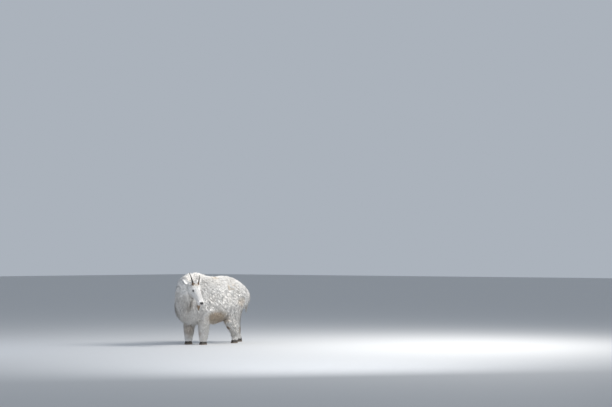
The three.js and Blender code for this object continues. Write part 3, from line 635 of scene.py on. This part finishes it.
def tuft_points(points, normals, width, thick):
    """Seven points of each tuft, in metres, along its three steps: edge, ridge, edge and the tip."""
    fit = rng.uniform(*WIDTH_SPREAD, len(points))
    verts = np.empty((len(points), 7, 3))
    for i in range(2):
        way = points[:, i + 1] - points[:, max(i - 1, 0)]
        broad = unit(np.cross(way, normals[:, i])) * (width * TUFT_TAPER[i] * fit / 2)[:, None]
        ridge = normals[:, i] * (thick * TUFT_TAPER[i] * fit)[:, None]
        verts[:, 3 * i] = points[:, i] + broad
        verts[:, 3 * i + 1] = points[:, i] + ridge
        verts[:, 3 * i + 2] = points[:, i] - broad
    verts[:, 6] = points[:, 2]
    verts = metres(verts)
    verts[..., 2] = np.maximum(verts[..., 2], FLOOR_CLEAR)
    return verts


def tuft_mesh(name, verts, unrolled):
    """One mesh of all the tufts, each with a small patch at its root's place on the map."""
    mesh = bpy.data.meshes.new(name)
    flat = verts.reshape(-1, 3)
    tris = (np.array(TUFT_FACES)[None] + (np.arange(len(verts)) * 7)[:, None, None]).reshape(-1, 3)
    mesh.vertices.add(len(flat))
    mesh.vertices.foreach_set("co", flat.ravel())
    mesh.loops.add(tris.size)
    mesh.loops.foreach_set("vertex_index", tris.ravel())
    mesh.polygons.add(len(tris))
    mesh.polygons.foreach_set("loop_start", np.arange(0, tris.size, 3))
    layer = mesh.uv_layers.new(name="OFBake")
    corner = MAP_EDGE + (1 - 2 * MAP_EDGE) * unrolled[:, None]
    places = (corner + (TUFT_SPOT - (0, 0.5)) * TUFT_PATCH).reshape(-1, 2)
    layer.data.foreach_set("uv", places[tris.ravel()].ravel())
    mesh.update()
    mesh.validate()
    mesh.polygons.foreach_set("use_smooth", np.ones(len(tris), bool))
    edges = [verts[:, i] - verts[:, 2] for i in (0, 1, 6)]
    if np.einsum("ij,ij->i", edges[0], np.cross(edges[1], edges[2])).sum() > 0:
        mesh.flip_normals()
    return mesh


def coat(name, surface, count, span, angles, flow, length, width, thick, tip, hang, gather, keep=None):
    """Tufts over one surface. span and angles bound the roots, flow is the reach along and round for a
    length of one, tip is the range of depths at the tips, hang the shares of its length that a tuft
    drops on the upper side and underneath, gather the (along, round, share) of the locks."""
    count = count
    u, a, root = roots_on(surface, count, span, angles, keep)
    side = np.where(np.cos(np.radians(a)) >= 0, 1.0, -1.0)
    ease = np.clip(np.abs(np.cos(np.radians(a))) * 2.2, 0, 1)
    under = np.clip(-np.sin(np.radians(a)), 0, 1)
    sway = smooth_noise(root, SWAY_REACH, 3)
    reach = (length(u) if callable(length) else length) * rng.uniform(*LENGTH_SPREAD, len(u))
    reach *= 1 + 0.14 * smooth_noise(root, LENGTH_REACH, 5)
    lock_long, lock_wide, lock_share = gather
    goal_u, goal_a, jitter = locks_of(u, a, lock_long, lock_wide)
    tip_depth = rng.uniform(*tip, len(u)) + 0.14 * jitter
    points, normals = [], []
    for t in TUFT_STEPS:
        pull = lock_share * t**1.2
        along = u + flow[0] * reach * t * (1 + 0.15 * sway) + pull * (goal_u - u)
        turned = a + flow[1] * reach * t * (0.25 * sway - side * ease) + pull * (goal_a - a)
        place = surface(along, turned, ROOT_DEPTH + (tip_depth - ROOT_DEPTH) * t**0.62)
        place[:, 2] -= (hang[0] + (hang[1] - hang[0]) * under) * t**2 * reach
        points.append(place)
        normals.append(unit(surface(along, turned, 0.0) - surface(along, turned, 1.0)))
    verts = tuft_points(np.stack(points, 1), np.stack(normals, 1), width, thick)
    unrolled = np.stack([(a - angles[0]) / (angles[1] - angles[0]), (u - span[0]) / (span[1] - span[0])], 1)
    mesh = tuft_mesh(name, verts, unrolled)
    mesh.materials.append(wool)
    obj = bpy.data.objects.new(name, mesh)
    bpy.context.collection.objects.link(obj)
    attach(obj, "root")


def leg_hair(u):
    """Hair that lengthens up the leg from above the hoof."""
    return np.interp(u, [56, 110, 250, 420], [20, 42, 74, 92])


ALL_ROUND, LEG_ROUND = (-90, 270), (-180, 180)
# Each length of the trunk, from the chest back, is (span, count, length of the hair)
TRUNK_COAT = [((-330, 30), 17250, 112), ((30, 380), 16875, 98), ((380, 700), 16875, 96),
              ((700, 975), 15750, 98)]
for i, (span, count, length) in enumerate(TRUNK_COAT):
    coat(f"coat_trunk_{i + 1}", trunk, count, span, ALL_ROUND, flow=(0.60, 0.125), length=length, width=12,
         thick=1.2, tip=(-0.02, 0.30), hang=(0.08, 0.20), gather=(46, 11, 0.30))
coat("coat_neck", neck, 19500, (0.22, 1.0), ALL_ROUND, flow=(-0.0011, 0.19), length=110, width=8.5,
     thick=1.1, tip=(-0.02, 0.32), hang=(0.14, 0.3), gather=(0.07, 15, 0.34))
for name in FEET:
    top = 590 if name.startswith("hind") else 510
    tip = (0.1, 0.5) if name == "foreleg_right" else (-0.05, 0.4)
    coat("coat_" + name, leg(name), 9375, (56, top), LEG_ROUND, flow=(-0.9, 0.03), length=leg_hair,
         width=6.8, thick=1.0, tip=tip, hang=(0.05, 0.05), gather=(34, 18, 0.34))
coat("coat_tail", tail, 2700, (0.05, 0.97), ALL_ROUND, flow=(0.0028, 0.02), length=120, width=6.5,
     thick=1.0, tip=(-0.25, 0.5), hang=(0.2, 0.2), gather=(0.12, 30, 0.4))

# The long wool that stands out of the coat: the crest over neck and withers, the ruff of the throat,
# the fringe of chest and belly and the tufts behind the thighs. It hangs in coarser pointed locks.
coat("coat_crest", neck, 3900, (0.12, 0.95), (38, 142), flow=(-0.0012, 0.10), length=116, width=10,
     thick=1.3, tip=(-0.12, 0.14), hang=(-0.03, 0), gather=(0.09, 16, 0.45))
coat("coat_withers", trunk, 2700, (-250, 260), (52, 128), flow=(0.5, 0.08), length=110, width=10,
     thick=1.3, tip=(-0.10, 0.14), hang=(0.0, 0), gather=(60, 14, 0.45))
coat("coat_ruff", neck, 6450, (0.18, 0.98), (188, 352), flow=(-0.0005, 0.02), length=145, width=9.5,
     thick=1.3, tip=(-0.08, 0.3), hang=(0.30, 0.58), gather=(0.09, 14, 0.5))
coat("coat_chest", trunk, 6450, (-333, -60), (176, 364), flow=(0.16, 0.02), length=135, width=9.5,
     thick=1.3, tip=(-0.02, 0.4), hang=(0.42, 0.42), gather=(52, 12, 0.5))
coat("coat_belly", trunk, 6750, (-60, 800), (212, 328), flow=(0.30, 0.0), length=96, width=9.5,
     thick=1.3, tip=(0.1, 0.5), hang=(0.28, 0.42), gather=(58, 12, 0.5))
coat("coat_rump", trunk, 2850, (840, 982), ALL_ROUND, flow=(0.30, 0.1), length=115, width=9.5,
     thick=1.2, tip=(-0.02, 0.28), hang=(0.36, 0.45), gather=(46, 16, 0.45))
for side in ("left", "right"):
    coat("coat_thigh_" + side, leg("hindleg_" + side), 3000, (230, 560), (20, 160), flow=(-0.62, 0.0),
         length=110, width=9, thick=1.2, tip=(-0.02, 0.35), hang=(0.2, 0.2), gather=(60, 20, 0.5))
coat("coat_knee_left", leg("hindleg_left"), 2250, (160, 350), (205, 335), flow=(-0.6, 0.0), length=105,
     width=8, thick=1.1, tip=(-0.7, 0.3), hang=(0.15, 0.15), gather=(50, 20, 0.5))
for side in ("left", "right"):
    coat("coat_elbow_" + side, leg("foreleg_" + side), 2700, (240, 500), LEG_ROUND, flow=(-0.7, 0.0),
         length=105, width=9, thick=1.2, tip=(-0.02, 0.35), hang=(0.2, 0.2), gather=(52, 24, 0.5))

# The hair of the head: short and close on the face, longer on poll and cheeks where it runs into the
# neck, a beard of hanging locks, and fine hair over the ears.
BEARD_PLACE = (205, -112, 0)
BEARD_LENGTH, BEARD_HALF, BEARD_TIP = 112, 34, 3
BEARD_WAY = unit(-UPWARD - 0.12 * AHEAD)
BEARD_SIDE = -np.cross(HEAD_LEFT, BEARD_WAY)
NOSE_START, NOSE_LOW = 262, -106
HORN_SEAT, HORN_SPACING_HALF = (14, -6), 30
EYE_CLEAR, HORN_CLEAR, MOUTH_CLEAR = 21, 22, 5


def bare_face(root):
    """Leaves out the eyes, the nose, the lips and the seats of the horns."""
    forward, up, left = in_head(root)
    clear = (forward < NOSE_START) | (up < NOSE_LOW)
    clear &= (np.abs(up - MOUTH_UP) > MOUTH_CLEAR) | (forward < MOUTH_CORNER + 4)
    clear &= np.hypot(forward - EYE_PLACE[0], up - EYE_PLACE[1]) > EYE_CLEAR
    clear &= np.hypot(forward - HORN_SEAT[0], np.abs(left) - HORN_SPACING_HALF) > HORN_CLEAR
    return clear


def beard(u, angle, depth):
    half = (BEARD_HALF * (1 - np.clip(u, 0, 1) ** 1.6) + BEARD_TIP) * (1 - 0.5 * depth)
    c, r = half * 0.8 * np.cos(np.radians(angle)), half * np.sin(np.radians(angle))
    middle = head_point(*BEARD_PLACE) + (BEARD_LENGTH * u)[..., None] * BEARD_WAY
    return middle + c[..., None] * HEAD_LEFT + r[..., None] * BEARD_SIDE


coat("coat_face", head, 9375, (-84, 264), ALL_ROUND, flow=(-0.62, 0.12), length=20, width=4.2,
     thick=0.55, tip=(-0.3, 0.3), hang=(0.05, 0.05), gather=(14, 12, 0.25), keep=bare_face)
coat("coat_poll", head, 3150, (-84, 52), (-10, 190), flow=(-0.6, 0.2), length=62, width=5.6,
     thick=0.8, tip=(-2.6, -0.2), hang=(0.1, 0.1), gather=(20, 16, 0.4), keep=bare_face)
coat("coat_cheek", head, 3900, (-84, 66), (165, 375), flow=(-0.5, 0.2), length=66, width=5.6,
     thick=0.8, tip=(-2.8, -0.1), hang=(0.3, 0.5), gather=(20, 16, 0.4), keep=bare_face)
coat("coat_beard", beard, 1950, (-0.1, 0.6), (0, 360), flow=(0.0062, 0.0), length=62, width=4.6,
     thick=0.7, tip=(-0.15, 0.6), hang=(0.1, 0.1), gather=(0.3, 30, 0.5))
for name, s in (("left", 1), ("right", -1)):
    coat("coat_ear_" + name, ear(s), 1125, (-0.1, 0.95), ALL_ROUND, flow=(0.0075, 0.15), length=17,
         width=3.2, thick=0.4, tip=(-2.6, 0.2), hang=(0.02, 0.02), gather=(0.12, 24, 0.3))

# The eyes: dark brown balls with a level oblong pupil and a swell of cornea in front. Each is set in
# its socket close inside the lids, and has a clear wet layer over its colour.
EYE_BALL, CORNEA_SWELL, CORNEA_START = 0.0146, 0.0011, 0.72
EYE_BROWN, EYE_LIGHT = (0.014, 0.008, 0.005, 1), (0.032, 0.016, 0.008, 1)
PUPIL_BLACK, PUPIL_HALF = (0.003, 0.003, 0.004, 1), (EYE_BALL * 0.48, 0.1, EYE_BALL * 0.22)
for name, s in (("left", 1), ("right", -1)):
    middle = metres(head_point(EYE_PLACE[0], EYE_PLACE[1], s * EYE_PLACE[2]))
    outward = Vector(HEAD_LEFT * s)
    bpy.ops.mesh.primitive_uv_sphere_add(segments=48, ring_count=32, radius=EYE_BALL,
                                         location=tuple(middle),
                                         rotation=outward.to_track_quat("Z", "Y").to_euler())
    eye = bpy.context.object
    eye.name = "eyeball_" + name
    bpy.ops.object.transform_apply(location=True, rotation=True, scale=True)
    for v in eye.data.vertices:
        facing = (v.co - Vector(middle)).normalized().dot(outward)
        v.co += outward * CORNEA_SWELL * max(0.0, (facing - CORNEA_START) / (1 - CORNEA_START)) ** 0.6
    bpy.ops.object.shade_smooth()
    paint = Finish("eye_" + name + "_wet", 0.08, 0.6)
    paint.shader.inputs["Coat Weight"].default_value = 1.0
    paint.shader.inputs["Coat Roughness"].default_value = 0.03
    iris = paint.mixed(paint.ranged(paint.noise(900, 3), 0.35, 0.65, 0, 1), EYE_BROWN, EYE_LIGHT)
    pupil = paint.distance(tuple(middle), PUPIL_HALF, FACE_TURN)
    colour = paint.mixed(paint.ranged(pupil, 0.9, 1.1, 1, 0), iris, PUPIL_BLACK)
    eye.data.materials.append(paint.done(colour, paint.noise(300, 2), 0.05, 0.0003))
    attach(eye, "root")
    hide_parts("eye_" + name)

# The horns: slim black sheaths that sweep back, with growth rings round the lower part, fine lines
# along them and a browner foot in the hair of the brow.
HORN_LENGTH = {"left": 138, "right": 174}
HORN_ROOT_HALF, HORN_TIP_HALF, HORN_STUB = 19, 2.4, 16
HORN_LEAN, HORN_SPLAY, HORN_STEPS = (26, 66), 15, 8
HORN_RINGS, RING_DEPTH, RINGS_END = 11, 0.075, 0.62
HORN_FLUTES, FLUTE_DEPTH = 9, 0.012
HORN_BLACK, HORN_GREY = (0.012, 0.010, 0.010, 1), (0.045, 0.036, 0.030, 1)
HORN_BROWN, HORN_BROWN_RADII = (0.16, 0.095, 0.05, 1), (0.06, 0.05, 0.05)
GROOVES = (0.0012, 0.0012, 0.02)


def horn_line(s, length):
    """Places along a horn from its stub to its tip."""
    points = [head_point(HORN_SEAT[0], HORN_SEAT[1] - HORN_STUB, s * HORN_SPACING_HALF)]
    for lean in np.radians(np.linspace(*HORN_LEAN, HORN_STEPS)):
        way = HEAD_UP * np.cos(lean) - HEAD_FORWARD * np.sin(lean)
        way = way + HEAD_LEFT * s * math.tan(math.radians(HORN_SPLAY))
        points.append(points[-1] + unit(way) * (length + HORN_STUB) / HORN_STEPS)
    return points


for name, s in (("left", 1), ("right", -1)):
    line = horn_line(s, HORN_LENGTH[name])
    t, angle = np.meshgrid(np.linspace(0, 1, 110), np.arange(36) * 10.0, indexing="ij")
    ahead = tangent_at(line, t)
    side = unit(np.cross(np.cross(HEAD_UP, ahead), ahead))
    half = HORN_ROOT_HALF + (HORN_TIP_HALF - HORN_ROOT_HALF) * t**0.85
    growth = np.abs(np.sin(np.pi * (HORN_RINGS * t**1.15 + 0.03 * np.sin(np.radians(angle))))) ** 0.45
    half = half * (1 - RING_DEPTH * (1 - growth) * np.clip((RINGS_END - t) / 0.2, 0, 1))
    half = half * (1 + FLUTE_DEPTH * np.sin(np.radians(angle * HORN_FLUTES)) * (1 - t))
    sheath = around(curve_at(line, t), side, np.cross(ahead, side), half, -half, half, angle)
    horn = loft("horn_sheath_" + name, metres(sheath))
    select(horn)
    bpy.ops.object.shade_smooth()
    paint = Finish("horn_" + name + "_sheath", 0.34, 0.5)
    colour = paint.mixed(paint.ranged(paint.noise(160, 4), 0.35, 0.7, 0, 1), HORN_BLACK, HORN_GREY)
    seat = tuple(metres(head_point(HORN_SEAT[0], HORN_SEAT[1], s * HORN_SPACING_HALF)))
    colour = paint.mark(colour, seat, HORN_BROWN_RADII, FACE_TURN, HORN_BROWN, 0.8, 0.5)
    grooves = paint.noise(1.0, 3, paint.inside(seat, GROOVES, FACE_TURN))
    horn.data.materials.append(paint.done(colour, grooves, 0.5, 0.0006))
    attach(horn, "root")
    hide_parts("horn_" + name)

# The hooves: two rounded toes apart from the coronet down, flat on the ground, and two small dewclaws
# behind, all of black horn that is dusty at the edge of the sole.
# Each row of a toe is (height, set back, share of half the width, share of half the length)
HOOF_ROWS = [(0, -4, 1.02, 1.08), (4, -4, 1.06, 1.12), (14, -3, 1.04, 1.08), (34, 0, 0.94, 0.96),
             (54, 3, 0.84, 0.84)]
HOOF_HALF = {"fore": (38, 46), "hind": (34, 42)}
HOOF_HEIGHTS = [0, 1, 2.5, 5, 8, 12, 17, 23, 29, 35, 41, 47, 53]
TOE_TRIM, TOE_APART = 0.9, 1.2
TOE_POINT, TOE_INWARD = 0.42, 0.35
DEWCLAW_RADIUS, DEWCLAW_UP, DEWCLAW_DEPTH = 0.011, 64.0, 0.6
DEWCLAW_OFFSET, DEWCLAW_SHAPE = (18.0, -5.0, 0.0), (0.9, 0.9, 1.35)
HOOF_BLACK, HOOF_GREY = (0.02, 0.017, 0.015, 1), (0.07, 0.058, 0.048, 1)
DUST_BROWN, DUST_RADII = (0.26, 0.21, 0.16, 1), (9, 9, 0.016)
HOOF_LINES = (0.03, 0.03, 0.0022)
paint = Finish("hoof_horn", 0.5, 0.4)
colour = paint.mixed(paint.ranged(paint.noise(70, 4), 0.35, 0.7, 0, 1), HOOF_BLACK, HOOF_GREY)
dust = paint.distance((0, 0, 0), DUST_RADII, NO_TURN)
colour = paint.mixed(paint.ranged(dust, 0.2, 1.1, 0.7, 0), colour, DUST_BROWN)
hoof_horn = paint.done(colour, paint.noise(1.0, 3, paint.inside((0, 0, 0), HOOF_LINES, NO_TURN)), 0.5, 0.0008)


def toe(foot, s, wide, long):
    """One toe of a hoof, blunt behind and drawn to a rounded point in front."""
    column = [[(row[0], row[i]) for row in HOOF_ROWS] for i in range(4)]

    def surface(u, angle, depth):
        c, r = np.cos(np.radians(angle)), np.sin(np.radians(angle))
        half = wide * sized(column[2], u) / 2 - TOE_TRIM
        point = 1 - TOE_POINT * np.clip(-r, 0, 1) ** 2.4
        at = np.zeros(np.shape(u) + (3,))
        at[..., 0] = foot[0] + s * (half + TOE_APART) - s * half * TOE_INWARD * (1 - point)
        at[..., 1] = foot[1] + sized(column[1], u)
        at[..., 2] = u
        across = half * np.sign(c) * np.abs(c) ** 0.72 * point
        along = long * sized(column[3], u) * np.sign(r) * np.abs(r) ** 0.85
        return at + across[..., None] * SIDEWAYS + along[..., None] * BACKWARD

    return surface


for name, foot in FEET.items():
    wide, long = HOOF_HALF[name[:4]]
    toes = [loft("toe", metres(rings_of(toe(foot, s, wide, long), HOOF_HEIGHTS, 40, 0))) for s in (1, -1)]
    rear = leg(name)(np.array(DEWCLAW_UP), np.array(90.0), DEWCLAW_DEPTH)
    for s in (1, -1):
        middle = tuple(metres(rear + np.array(DEWCLAW_OFFSET) * (s, 1, 1)))
        bpy.ops.mesh.primitive_uv_sphere_add(segments=20, ring_count=14, radius=DEWCLAW_RADIUS,
                                             location=middle)
        claw = bpy.context.object
        bpy.ops.transform.resize(value=DEWCLAW_SHAPE, center_override=middle)
        bpy.ops.object.transform_apply(location=True, rotation=True, scale=True)
        toes.append(claw)
    hoof = join("toes_" + name, toes)
    bpy.ops.object.shade_smooth()
    hoof.data.materials.clear()
    hoof.data.materials.append(hoof_horn)
    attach(hoof, "root")
    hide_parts(name.replace("leg_", "hoof_"))
